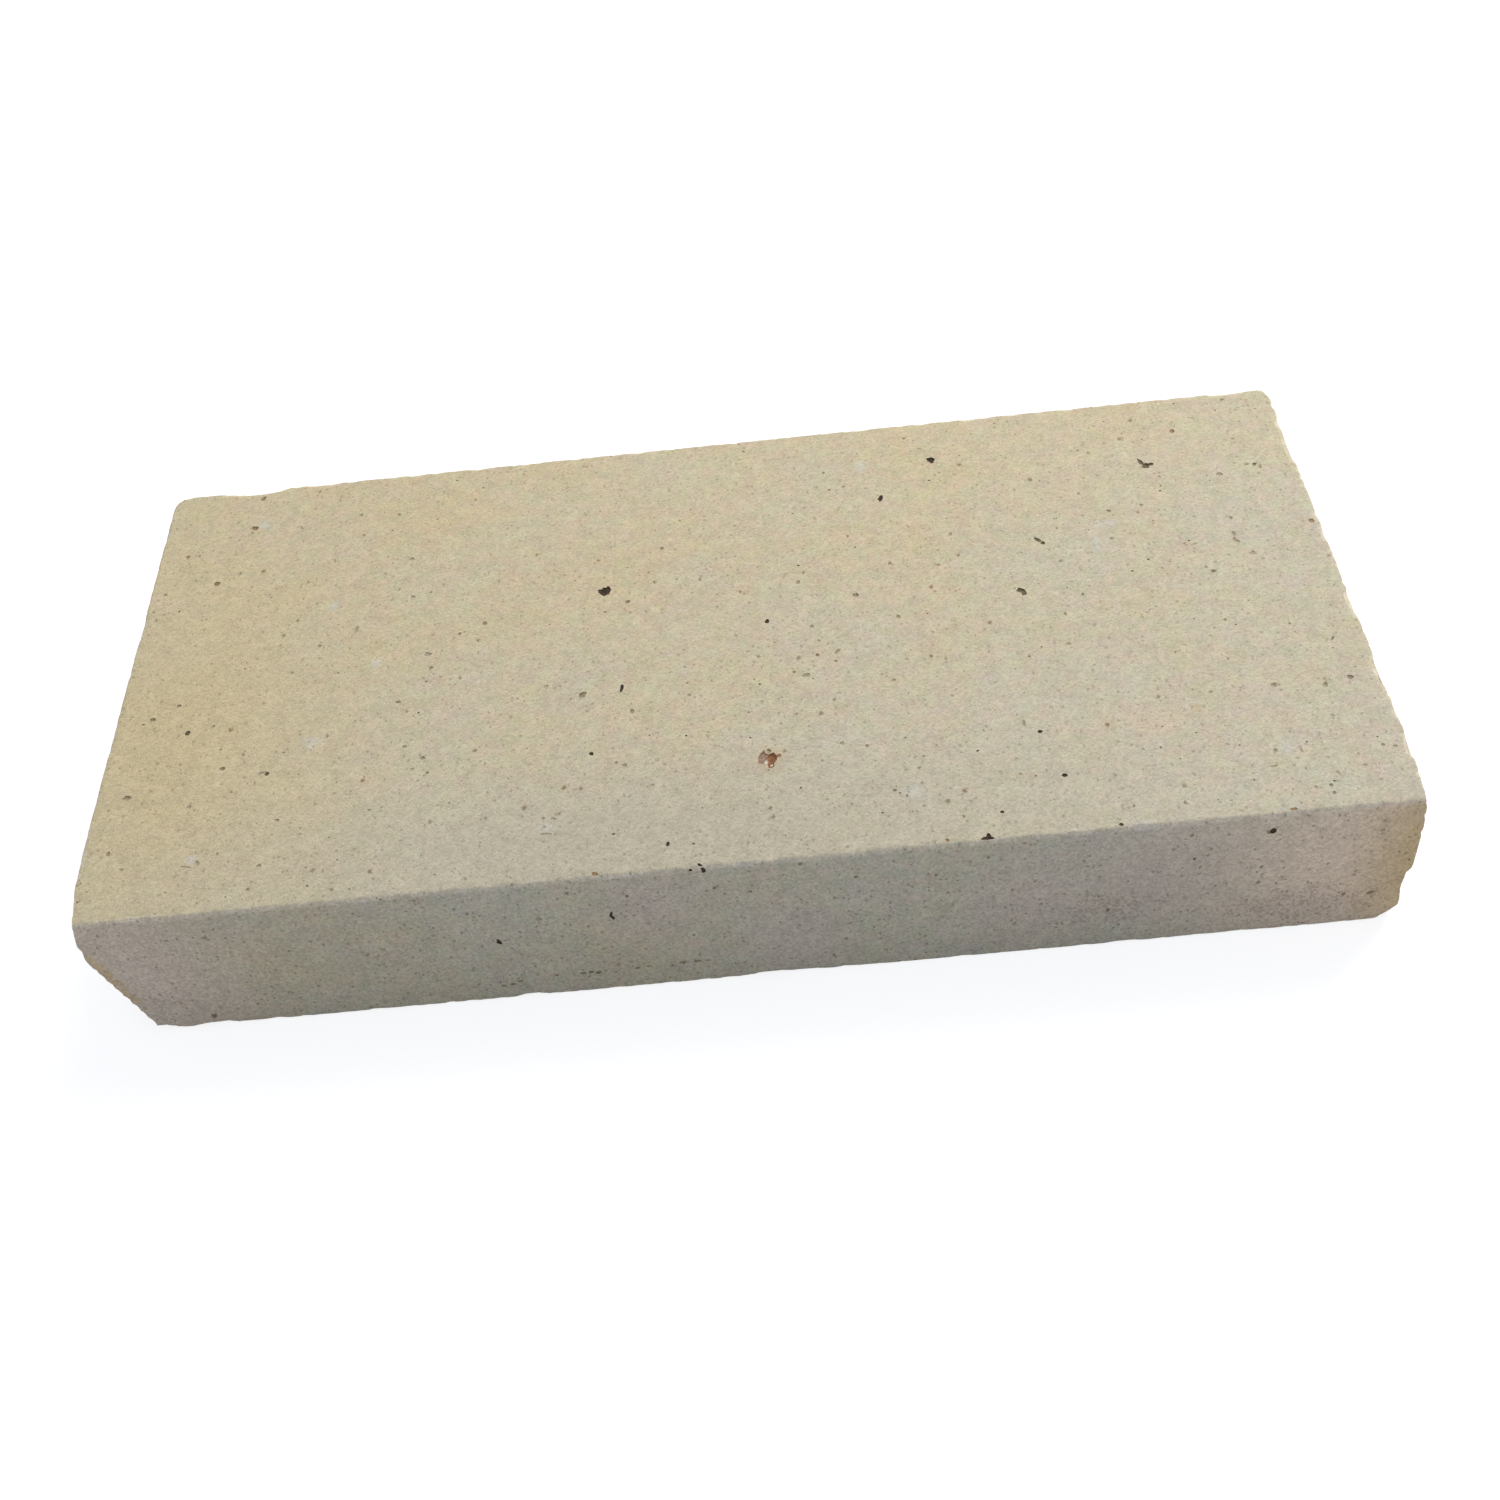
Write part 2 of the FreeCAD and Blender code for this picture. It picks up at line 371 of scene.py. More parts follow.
def run_tree(piece, tree, values):
    """Runs a tree on a piece with these inputs and keeps the result as the piece's own mesh."""
    modifier = piece.modifiers.new(tree.name, "NODES")
    modifier.node_group = tree
    for item in tree.interface.items_tree:
        if item.in_out == "INPUT" and item.name in values:
            modifier[item.identifier] = values[item.name]
    depsgraph = bpy.context.evaluated_depsgraph_get()
    plain = bpy.data.meshes.new_from_object(
        piece.evaluated_get(depsgraph), preserve_all_data_layers=True, depsgraph=depsgraph
    )
    piece.modifiers.remove(modifier)
    piece.data = plain
    print(tree.name, "left", len(plain.polygons), "faces")


# %% [markdown]
# Fired clay crumbles in grains, so no edge is a ruled line. A noise that bites only above a
# limit leaves most of an edge whole and takes small scoops out of the rest, and a longer one
# adds a few larger notches. The broken faces get a lumpy noise of their own. All of them push
# inwards only: pressed clay loses stuff and never grows, so the brick keeps its measured size.

# %% Worn edges
BITES = {"detail": 2.0, "start": 0.42, "full": 0.72}
NOTCHES = {"detail": 1.0, "start": 0.56, "full": 0.74}
LUMPS = {"detail": 3.0, "start": 0.35, "full": 0.8}


def worn_edges():
    """The tree that bites into the edges and roughens the breaks."""
    sizes = ("Bite Depth", "Bite Length", "Notch Depth", "Notch Length", "Break Depth",
             "Break Length", "Seed")
    inputs = {"Geometry": "Geometry", **{name: "Float" for name in sizes}}
    tree, given, result = new_tree("worn_edges", inputs, {"Geometry": "Geometry"})

    def scoops(name, where, detail, start, full):
        """Depth taken by one noise, between its limits and only where the attribute allows."""
        scale = sums(tree, "DIVIDE", 1.0, given[f"{name} Length"])
        inputs = {"W": given["Seed"], "Scale": scale, "Detail": detail}
        noise = put(tree, "ShaderNodeTexNoise", inputs, noise_dimensions="4D").outputs[0]
        share = sums(tree, "MULTIPLY", span(tree, noise, start, full), carried(tree, where))
        return sums(tree, "MULTIPLY", share, given[f"{name} Depth"])

    bites = scoops("Bite", "wear", **BITES)
    notches = scoops("Notch", "wear", **NOTCHES)
    lumps = scoops("Break", "broken", **LUMPS)
    depth = sums(tree, "ADD", sums(tree, "ADD", bites, notches), lumps)
    normal = put(tree, "GeometryNodeInputNormal").outputs["Normal"]
    inward = scaled(tree, normal, -1.0)
    inputs = {"Geometry": given["Geometry"], "Offset": scaled(tree, inward, depth)}
    moved = put(tree, "GeometryNodeSetPosition", inputs)
    feed(tree, result["Geometry"], moved.outputs["Geometry"])
    return tree


run_tree(brick, worn_edges(), {
    "Bite Depth": 0.5 * MM, "Bite Length": 2.6 * MM, "Notch Depth": 0.8 * MM, "Notch Length": 9 * MM,
    "Break Depth": 0.35 * MM, "Break Length": 1.6 * MM, "Seed": 3.0,
})

# %% [markdown]
# The holes come in several finishes: black or brown where a grain of iron melted out, grey-brown
# where a grain of clay fell out, paler where only a little dust is gone, red where iron stained
# the rim, and one rusty lump with a pink side and pale flecks. The grey-brown and the paler ones
# are darker than the clay round them partly as painted shade inside the hollow. The larger ones
# are listed as they are seen: pixel across and down, then length and width in pixels and tilt in
# degrees wherever they aren't those of the commonest dot. They could be painted, but a hole has a
# rim and a shadow of its own, so each is cut out of the mesh. A boolean wants balls that don't
# touch one another, so marks that do are cut in later turns.

# %% Marks read from the picture
DOT_LENGTH, DOT_WIDTH = 4, 3
MARKS = {
    ("iron_hole", "top"): {
        "largest": (605, 591, 10, 8), "largest_left": (601, 591, 6, 4),
        "largest_right": (608, 590, 5, 8, 10), "back": (931, 460, 8, 7), "back_near": (880, 498, 5, 6),
        "slim": (622, 688, 8, 4, 85), "front_black": (668, 844, 4, 4), "right_tailed": (1065, 775, 6, 4),
        "right_upper": (1040, 731, 5, 4, -30), "arris_large": (988, 838, 14, 4, 5),
        "arris_peak": (989, 836, 6, 6), "arris_right": (1121, 824, 5, 3),
        "middle_front": (591, 754, 5, 4, 30), "middle_back": (767, 621, 4, 4), "red_rimmed": (1002, 812),
        "arris_slim": (700, 865, 5, 3, -40),
    },
    ("brown_pit", "top"): {
        "crescent": (1146, 466, 9, 5, 5), "crescent_end": (1151, 464),
        "crescent_arm": (1140, 462, 9, 3, -45), "left_black": (188, 733, 5, 4, 60),
        "slanted": (1038, 540, 8, 3, -28), "slanted_end": (1043, 543, 5, 4),
        "left_core": (267, 774, 6, 4), "olive": (1021, 590, 6, 7, 30), "olive_foot": (1024, 593, 5, 5),
    },
    ("clay_pit", "top"): {
        "middle": (856, 595, 6, 4), "small_pair_a": (1083, 594, 3, 3), "small_pair_b": (1065, 614, 3, 3),
        "left_of_slim": (582, 695, 8, 5, 40), "left_grey": (179, 706, 5, 4),
        "left_ring": (153, 720, 6, 4, 30), "back_left": (264, 499, 5, 4), "right_end_pair_a": (1331, 785),
        "right_end_pair_b": (1334, 793), "front_dot": (801, 788, 3, 3),
        "right_edge_dot": (1333, 638, 5, 3, 60), "back_a": (662, 548), "back_b": (823, 473, 3, 3),
        "back_right_ring": (1254, 464, 5, 4), "cluster": (838, 651, 7, 3, 45),
        "right": (1214, 571, 5, 4, -30), "small_ring": (616, 763, 3, 3), "front_row": (307, 886),
        "right_front": (1134, 806, 3, 3), "red_left": (398, 702, 5, 3), "lump_top": (769, 751, 5, 5),
        "lavender_a": (907, 796, 3, 3), "lavender_b": (900, 793, 3, 2), "lavender_c": (895, 790),
        "left_a": (127, 798, 7, 5), "left_b": (108, 854, 4, 4), "left_c": (485, 623, 5, 4),
        "left_d": (431, 668), "left_e": (423, 758, 5, 4, 20), "left_f": (427, 773),
        "left_g": (222, 769, 6, 3, 10), "middle_a": (632, 711, 4, 4), "right_a": (1109, 511, 5, 3),
        "right_b": (1350, 677, 6, 5, 30), "back_middle": (798, 582), "beside_largest": (628, 602),
    },
    ("faint_pit", "top"): {
        "left_tail": (262, 773, 10, 3, 8), "left_slim": (356, 630, 7, 4, 80), "cluster_low": (836, 661),
        "right_small": (1253, 553, 5, 4, 80), "right_hook": (1234, 534, 6, 3, -60),
        "right_hook_foot": (1238, 541, 5, 3, -20), "ring_right": (1260, 466, 4, 4),
        "twin": (1024, 723, 7, 4, -70), "left_a": (213, 727, 5, 3, 40), "left_b": (327, 736, 3, 3),
        "left_c": (412, 559), "front_row_a": (331, 890), "front_row_b": (349, 889),
        "front_pair_a": (867, 746), "front_pair_b": (842, 743), "right_edge_a": (1329, 555, 5, 4, 60),
        "right_edge_b": (1357, 619, 6, 4, 60), "front_corner_a": (1383, 745),
        "front_corner_b": (1395, 746, 5, 3), "left_d": (165, 595), "left_e": (240, 574),
        "left_f": (319, 646), "left_g": (404, 747, 5, 3, 20), "left_h": (399, 515),
        "left_i": (283, 753, 5, 3), "left_j": (243, 755), "right_a": (1036, 776), "right_b": (1143, 749),
        "right_c": (905, 738), "right_d": (924, 756), "right_e": (1220, 474, 6, 4),
        "right_f": (1194, 544, 6, 2, 30), "right_g": (1206, 567, 5, 3, -30), "right_h": (1225, 620),
        "grog_dot": (197, 863, 5, 4, -60), "grog_foot": (186, 867, 12, 2, -5),
        "ring_a": (553, 819, 6, 3, -10), "ring_b": (559, 814, 3, 3), "ring_c": (543, 818, 4, 3, 40),
        "ring_d": (546, 834, 10, 2), "ring_e": (544, 827, 3, 3), "lavender_d": (922, 783),
        "lavender_e": (924, 806), "right_ring_a": (1275, 751, 6, 4, 60),
        "right_ring_b": (1302, 751, 6, 3, -60), "right_ring_c": (1297, 758, 5, 2),
        "right_ring_d": (1275, 766, 9, 2, 8), "left_k": (428, 654, 8, 4), "left_l": (459, 634),
        "left_m": (546, 687, 5, 4), "left_n": (189, 807), "left_o": (258, 866, 6, 4, 20),
        "left_p": (277, 820), "left_q": (361, 515), "left_r": (475, 500, 3, 3),
        "left_s": (413, 597, 5, 3), "left_t": (156, 621, 4, 3, 60), "left_u": (244, 763),
        "middle_b": (605, 612), "middle_c": (819, 641), "middle_d": (894, 680),
        "middle_e": (806, 675, 8, 5), "middle_f": (931, 656), "middle_g": (834, 700),
        "middle_h": (689, 695), "middle_i": (624, 765, 6, 4), "middle_j": (652, 785, 5, 3),
        "middle_k": (766, 790), "middle_l": (847, 847), "right_i": (950, 534, 4, 4),
        "right_j": (938, 565), "right_k": (1141, 505), "right_l": (1274, 685, 6, 4, 20),
        "right_m": (1325, 685, 5, 4), "right_n": (1316, 787), "right_o": (1020, 774, 5, 3),
        "right_p": (1365, 765),
    },
    ("red_spot", "top"): {
        "back_left": (255, 528, 6, 4), "tan": (217, 584, 6, 4), "cluster": (818, 655),
        "arris": (595, 874, 7, 4), "right": (1311, 520, 6, 4), "back_right": (1172, 431, 5, 4),
        "arris_right": (1294, 809, 9, 3, 5), "orange": (948, 840, 5, 3), "lump_arm": (779, 756, 6, 4, 20),
    },
    ("rusty_lump", "top"): {"lump": (773, 758, 10, 13), "lump_foot": (771, 766, 8, 6, 30)},
    ("pink_lump", "top"): {"lump": (763, 757, 11, 13)},
    ("pale_fleck", "top"): {"upper": (766, 762, 3, 4), "lower": (772, 765)},
    ("iron_hole", "front"): {
        "slim": (611, 914, 5, 3, 75), "slim_foot": (613, 918, 5, 3, -60),
        "right_large": (1273, 831, 7, 5, 10), "left_large": (499, 942, 6, 4, -60),
        "arris_slim_foot": (703, 870, 7, 4, -60), "arris_fleck": (690, 870, 5, 4),
    },
    ("clay_pit", "front"): {
        "upper_left": (567, 893), "upper_middle": (627, 896, 4, 3, 30),
        "under_arris": (714, 888, 4, 3, 80), "middle_a": (856, 877, 4, 3, 20),
        "middle_b": (936, 875, 3, 3), "dot": (694, 935, 3, 3), "nick": (215, 1016, 6, 4),
        "right_long": (1371, 892, 8, 3, 20), "right_low": (1343, 894), "drag_a": (584, 973, 7, 2, 8),
        "drag_b": (591, 972, 6, 3, 8), "drag_c": (598, 972, 6, 3, 8), "drag_d": (513, 984, 7, 2, 5),
        "drag_e": (521, 981, 6, 2, 5), "drag_f": (557, 975, 5, 2, 5), "drag_g": (638, 968, 6, 2, 5),
        "drag_h": (684, 962, 7, 2, 4), "drag_i": (698, 961, 8, 2, 4), "lower": (834, 955, 3, 3),
        "right_high": (1261, 867, 3, 3), "arris_dot": (800, 864), "right_a": (1192, 835),
        "right_b": (1258, 882), "right_c": (1108, 910), "right_large_tail": (1269, 832, 4, 4, 20),
    },
    ("faint_pit", "front"): {
        "dot_a": (741, 917, 3, 3), "dot_b": (834, 898, 3, 3), "dot_c": (604, 949),
        "left_a": (244, 942, 3, 3), "left_b": (289, 951, 3, 3), "left_c": (272, 987, 3, 3),
        "left_d": (296, 966, 3, 3), "ring": (539, 919, 6, 4), "lower_left": (430, 995),
        "right_a": (1200, 867, 3, 3), "right_b": (1211, 849, 3, 3), "right_c": (1276, 883, 3, 3),
        "right_d": (1356, 871, 3, 3), "right_e": (1308, 882, 3, 3), "right_f": (1383, 830),
        "middle_a": (908, 884), "middle_b": (959, 891), "drag_a": (504, 986, 6, 2, 5),
        "drag_b": (649, 966, 7, 2, 4), "drag_c": (708, 960, 6, 2, 4), "left_e": (205, 938, 5, 3),
        "left_f": (177, 939, 3, 2), "left_g": (193, 938, 3, 2), "left_h": (433, 928, 3, 3),
        "left_i": (454, 941, 3, 3), "left_j": (473, 970, 3, 3), "left_k": (289, 992, 3, 3),
        "middle_c": (646, 949, 3, 3), "middle_d": (928, 874, 3, 3), "middle_e": (1035, 881),
        "middle_f": (1087, 896), "middle_g": (1014, 924),
    },
}
print("marks listed:", {kind: len(marks) for kind, marks in MARKS.items()})

# %% Marks as points
DEPTH_SHARE = {
    "iron_hole": 0.4, "clay_pit": 0.35, "faint_pit": 0.35, "red_spot": 0.3,
    "rusty_lump": 0.3, "pink_lump": 0.2, "pale_fleck": 0.9, "brown_pit": 0.4,
}
FINISHES = ("sandy_clay", *DEPTH_SHARE)
REACH_SLACK = 1.5


def footprint(face, across, down, length=DOT_LENGTH, width=DOT_WIDTH, tilt=0):
    """Centre, length, width and turned axes of a mark on its face."""
    slope = math.radians(tilt)
    half_length = Vector((math.cos(slope), -math.sin(slope))) * length / 2
    half_width = Vector((math.sin(slope), math.cos(slope))) * width / 2
    centre = on_face(face, across, down)
    along = on_face(face, across + half_length.x, down + half_length.y) - centre
    aside = on_face(face, across + half_width.x, down + half_width.y) - centre
    outward = FACES[face][2]
    forward = along.normalized()
    axes = Matrix((forward, outward.cross(forward), outward)).transposed()
    return centre, along.length, aside.length, axes


def free_turn(centre, reach, rows):
    """The first turn of cutting in which no other mark touches this one."""
    near = [row for row in rows if (row["centre"] - centre).length < row["reach"] + reach]
    taken = {row["cut_turn"] for row in near}
    return min(set(range(len(taken) + 1)) - taken)


def mark_rows():
    """What is known of each listed mark, in the order in which they are cut."""
    rows = []
    for (finish, face), marks in MARKS.items():
        for place in marks.values():
            centre, length, width, axes = footprint(face, *place)
            reach = max(length, width) * REACH_SLACK
            rows.append({
                "centre": centre, "reach": reach, "cut_turn": free_turn(centre, reach, rows),
                "half_sizes": (length, width, min(length, width) * DEPTH_SHARE[finish]),
                "rotation": axes.to_euler(), "finish": FINISHES.index(finish),
            })
    return rows


def mark_points(rows):
    """One point for each mark, which carries its numbers."""
    mesh = bpy.data.meshes.new("marks")
    mesh.from_pydata([row["centre"] for row in rows], [], [])
    for name, kind, field in (
        ("half_sizes", "FLOAT_VECTOR", "vector"), ("rotation", "FLOAT_VECTOR", "vector"),
        ("finish", "INT", "value"), ("cut_turn", "INT", "value"),
    ):
        layer = mesh.attributes.new(name, kind, "POINT")
        for item, row in zip(layer.data, rows):
            setattr(item, field, row[name])
    return bpy.data.objects.new("marks", mesh)


rows = mark_rows()
marks = mark_points(rows)
cut_turns = 1 + max(row["cut_turn"] for row in rows)
print("marks:", len(rows), "cut in", cut_turns, "turns")

# %% [markdown]
# Now the finishes. Every one of them is burnt clay, so they share a group of nodes. A Voronoi
# pattern packs space with grains: each has a shade of its own and a rounded top. A second, wider
# one carries the specks: a cell shows one wherever the surface cuts near enough to its middle.
# The group reads a position and puts out plain masks, and each material turns the masks into
# its own colours. Positions are Object coordinates, because they stay with the brick and need
# no unwrapping.

# %% Shared grain
SPECK_SHARPNESS = 1.8


def fired_grain():
    """The group of nodes that packs grains and specks."""
    inputs = {"Position": "Vector", "Grain Size": "Float", "Speck Position": "Vector",
              "Speck Spacing": "Float", "Speck Size": "Float"}
    outputs = {"Shade": "Float", "Height": "Float", "Specks": "Float", "Speck Kind": "Float"}
    tree, given, result = new_tree("fired_grain", inputs, outputs, "ShaderNodeTree")

    def cells(position, spacing):
        """A Voronoi pattern whose cells are about this far apart."""
        closeness = sums(tree, "DIVIDE", 1.0, given[spacing])
        inputs = {"Vector": given[position], "Scale": closeness}
        return put(tree, "ShaderNodeTexVoronoi", inputs)

    grains = cells("Position", "Grain Size")
    shade = put(tree, "ShaderNodeSeparateColor", {0: grains.outputs["Color"]})
    feed(tree, result["Shade"], shade.outputs[0])
    feed(tree, result["Height"], sums(tree, "SUBTRACT", 1.0, grains.outputs["Distance"]))
    specks = cells("Speck Position", "Speck Spacing")
    chance = put(tree, "ShaderNodeSeparateColor", {0: specks.outputs["Color"]})
    share = sums(tree, "DIVIDE", given["Speck Size"], given["Speck Spacing"])
    radius = sums(tree, "MULTIPLY", chance.outputs[0], share)
    closeness = sums(tree, "SUBTRACT", 1.0, sums(tree, "DIVIDE", specks.outputs["Distance"], radius))
    core = sums(tree, "MULTIPLY", closeness, SPECK_SHARPNESS, use_clamp=True)
    feed(tree, result["Specks"], core)
    feed(tree, result["Speck Kind"], chance.outputs[1])
    return tree


GRAIN = fired_grain()
print("shared grain:", len(GRAIN.nodes), "nodes")

# %% What every material needs
SPECULAR = 0.25


def grain_of(tree, inputs):
    """Places the shared grain in a material, with that material's own sizes."""
    return put(tree, "ShaderNodeGroup", inputs, node_tree=GRAIN).outputs


def tint(tree, share, under, over, blend="MIX"):
    """One colour over another by a share. Sockets 6 and 7 are the node's two colours."""
    return put(tree, "ShaderNodeMix", {0: share, 6: under, 7: over},
               data_type="RGBA", blend_type=blend).outputs[2]


def new_material(name, roughness, specular=SPECULAR):
    """A material with its tree, its Principled shader and its piece's own Object coordinates."""
    material = bpy.data.materials.new(name)
    material.use_nodes = True
    tree = material.node_tree
    shader = tree.nodes["Principled BSDF"]
    shader.inputs["Roughness"].default_value = roughness
    shader.inputs["Specular IOR Level"].default_value = specular
    position = put(tree, "ShaderNodeTexCoord").outputs["Object"]
    return material, tree, shader, position


def relief(tree, shader, height, depth):
    """Bump of a real depth, for grain too fine to model."""
    bump = put(tree, "ShaderNodeBump", {"Height": height, "Strength": 1.0, "Distance": depth})
    feed(tree, shader.inputs["Normal"], bump.outputs[0])


# %% [markdown]
# Larger grains of burnt clay lie flush in the surface, and iron and salts have stained it here
# and there. Some spots are painted light and shade instead: the lighter ends of the front face,
# pale highlights along the front arris, and in part the yellow left and the grey front of the top.
# These have no edge that one could feel, so they stay colour: soft spots, listed by pixel, length
# and width, with a colour and a strength for each kind. Each is brought to a ball of size one,
# whose spherical gradient fades from the middle. The position is shaken by a noise first, so
# that no spot is an oval.

# %% Spots of colour
def soft_spot():
    """The group of nodes that fades from 1 in the middle of a spot to 0 at its rim."""
    inputs = {"Position": "Vector", "Centre": "Vector", "Half Sizes": "Vector"}
    tree, given, result = new_tree("soft_spot", inputs, {"Mask": "Float"}, "ShaderNodeTree")
    away = vectors(tree, "SUBTRACT", given["Position"], given["Centre"])
    unit = vectors(tree, "DIVIDE", away, given["Half Sizes"])
    ball = put(tree, "ShaderNodeTexGradient", {"Vector": unit}, gradient_type="SPHERICAL")
    feed(tree, result["Mask"], ball.outputs["Fac"])
    return tree


SPOT = soft_spot()
SPOT_LOOKS = {
    "yellow_bloom": ((0.580, 0.478, 0.280, 1), 1.0), "grey_bloom": ((0.500, 0.449, 0.330, 1), 1.1),
    "pale_grog": ((0.570, 0.545, 0.465, 1), 0.75), "pink_bloom": ((0.62, 0.49, 0.36, 1), 0.7),
    "orange_bloom": ((0.54, 0.40, 0.24, 1), 0.8), "light_bloom": ((0.735, 0.580, 0.415, 1), 1.4),
    "mauve_bloom": ((0.575, 0.481, 0.375, 1), 1.2), "ochre_stain": ((0.60, 0.44, 0.24, 1), 1.4),
    "left_bloom": ((0.65, 0.53, 0.40, 1), 1.2), "brown_bloom": ((0.50, 0.40, 0.32, 1), 0.45),
    "chalk_bloom": ((0.80, 0.78, 0.75, 1), 0.6),
}
SPOTS = {
    # Broad spots on the top: the yellow left is partly painted warm light, the grey front partly painted
    # shade, darker away from the lamp.
    ("yellow_bloom", "top"): {"left": (170, 740, 520, 560)},
    ("grey_bloom", "top"): {"front": (660, 845, 1240, 240)},
    ("pink_bloom", "top"): {
        "right": (1160, 720, 80, 46), "arris": (988, 836, 34, 20), "back_left": (264, 538, 22, 12),
    },
    ("orange_bloom", "top"): {"right": (1198, 708, 16, 13), "round_lump": (770, 758, 38, 34)},
    ("pale_grog", "top"): {
        "left_front": (191, 860, 17, 13), "front": (547, 828, 24, 15), "lavender": (914, 793, 36, 20),
        "right": (1288, 748, 24, 24), "left": (312, 742, 30, 17), "back_left": (263, 526, 24, 12),
        "left_back": (334, 606, 17, 12), "left_middle": (376, 664, 17, 12), "back": (861, 467, 22, 14),
        # On the next line the pale spot on the arris is partly a painted highlight of the rounding.
        "streaks": (1106, 523, 28, 12), "streak_foot": (1097, 545, 12, 28), "arris": (1144, 825, 40, 8),
    },
    # The lighter ends of the front face are partly the clay's tint and partly painted light.
    ("light_bloom", "front"): {"right": (1390, 860, 520, 300)},
    ("left_bloom", "front"): {"left": (130, 985, 340, 260)},
    ("mauve_bloom", "front"): {
        "middle_left": (650, 905, 130, 90), "middle": (800, 940, 130, 90),
        "middle_right": (1040, 900, 200, 110), "right": (1150, 875, 220, 130),
    },
    # Pale patches along the front arris: painted highlight where the rounding catches the light, partly
    # rubbed wear.
    ("chalk_bloom", "front"): {
        "left_arris": (228, 911, 34, 8), "middle_arris": (623, 874, 46, 8),
        "far_arris": (741, 864, 30, 8), "right_arris": (1148, 827, 38, 9),
    },
    ("brown_bloom", "front"): {
        "foot": (1300, 903, 200, 36), "far_foot": (1112, 906, 110, 40),
    },
    # The spot at the right end of the front is partly ochre stain and partly painted warm light; the rim
    # spots at the left break are ochre stain only.
    ("ochre_stain", "front"): {
        "right_end": (1430, 860, 170, 260), "rim_a": (90, 960, 20, 12), "rim_b": (98, 968, 20, 12),
        "rim_c": (107, 976, 20, 12), "rim_d": (116, 984, 20, 12), "rim_e": (124, 992, 20, 12),
        "rim_f": (133, 1000, 20, 12),
    },
}
SPECKLED = {
    "foot": (1300, 903, 200, 34), "far_foot": (1112, 906, 100, 36),
    "drag_left": (590, 973, 36, 8), "drag_middle": (680, 963, 80, 6), "drag_far_left": (514, 984, 30, 7),
}
SPOT_DEPTH = 5 * MM


def spot_mask(tree, position, face, places):
    """The strongest of several soft spots on one face."""
    mask = 0.0
    for across, down, length, width in places.values():
        centre, half_length, half_width, _ = footprint(face, across, down, length, width)
        half_sizes = {
            "top": (half_length, half_width, SPOT_DEPTH), "front": (half_length, SPOT_DEPTH, half_width),
        }
        inputs = {"Position": position, "Centre": centre, "Half Sizes": half_sizes[face]}
        spot = put(tree, "ShaderNodeGroup", inputs, node_tree=SPOT)
        mask = sums(tree, "MAXIMUM", spot.outputs["Mask"], mask)
    return mask


def spots_over(tree, position, wall, colour):
    """Lays every kind of spot over a colour, each only on its own face."""
    face_masks = {"front": wall, "top": sums(tree, "SUBTRACT", 1.0, wall)}
    for (kind, face), places in SPOTS.items():
        mask = spot_mask(tree, position, face, places)
        spot_colour, strength = SPOT_LOOKS[kind]
        strength = sums(tree, "MULTIPLY", face_masks[face], strength)
        share = sums(tree, "MULTIPLY", mask, strength, use_clamp=True)
        colour = tint(tree, share, colour, spot_colour)
    return colour


print("soft spots:", sum(len(places) for places in SPOTS.values()))

# %% [markdown]
# The body of the brick is a sandy buff, yellower at the left and the back and greyer towards
# the front, partly as kilns never fire evenly and partly as painted light: warmer light from
# behind, cooler light from the front. A mottle of a few millimetres shifts it a little between
# warm and cool and between pink and green. The spots go over that, then a pale line along the
# rounding of the top edges, partly rubbed wear and partly a painted highlight, ochre dirt in the
# broken corners, the sandy grain, and specks of three kinds: many faint ones, a few brown ones
# and some pale crumbs. Where the mould dragged on the side, and along the stained foot, many
# grains are brown.

# %% Clouds for the clay
YELLOW_CLAY = (0.575, 0.482, 0.305, 1)
GREY_CLAY = (0.548, 0.492, 0.364, 1)
TONE_AND_LIGHT_SLOPE = 0.25
TONE_PATCH, TONE_DETAIL = 30 * MM, 1.0
TONE_LIMIT = 0.5
CLOUD_ROUGHNESS = 0.65
MIDDLE = 0.5


def cloud(tree, position, length, detail):
    """A soft noise whose lumps are about this long, with a number of finer layers."""
    inputs = {"Vector": position, "Scale": 1 / length, "Detail": detail, "Roughness": CLOUD_ROUGHNESS}
    return put(tree, "ShaderNodeTexNoise", inputs)


def shaken(tree, position, length, reach):
    """The position pushed about by a noise, to roughen the outline of spots."""
    noise = cloud(tree, position, length, 0.0).outputs["Color"]
    push = vectors(tree, "SUBTRACT", noise, (MIDDLE, MIDDLE, MIDDLE))
    return vectors(tree, "MULTIPLY_ADD", push, (reach, reach, reach), position)


def firing_and_light_tone(tree, position):
    """0 where the clay is yellow, 1 where it is grey: the noise patches are uneven firing, the slope is
    partly painted light.
    """
    place = put(tree, "ShaderNodeSeparateXYZ", {0: position})
    # The slope to the front and right partly paints cooler light there and warmer light behind.
    to_right = sums(tree, "MULTIPLY", place.outputs["X"], TONE_AND_LIGHT_SLOPE / high.x)
    to_front = sums(tree, "MULTIPLY", place.outputs["Y"], TONE_AND_LIGHT_SLOPE / low.y)
    noise = cloud(tree, position, TONE_PATCH, TONE_DETAIL).outputs[0]
    patches = sums(tree, "SUBTRACT", noise, MIDDLE)
    level = sums(tree, "ADD", sums(tree, "ADD", to_right, to_front), patches)
    return span(tree, level, -TONE_LIMIT, TONE_LIMIT)


# %% Mottle, wear with a painted highlight, and sand
MOTTLE_LENGTH, MOTTLE_DETAIL = 3.5 * MM, 1.5
MOTTLE_LOW, MOTTLE_HIGH = 0.25, 0.75
WARM, COOL = (1.022, 0.998, 0.970, 1), (0.978, 1.002, 1.030, 1)
PINK, GREEN = (1.021, 0.973, 1.019, 1), (0.979, 1.027, 0.981, 1)
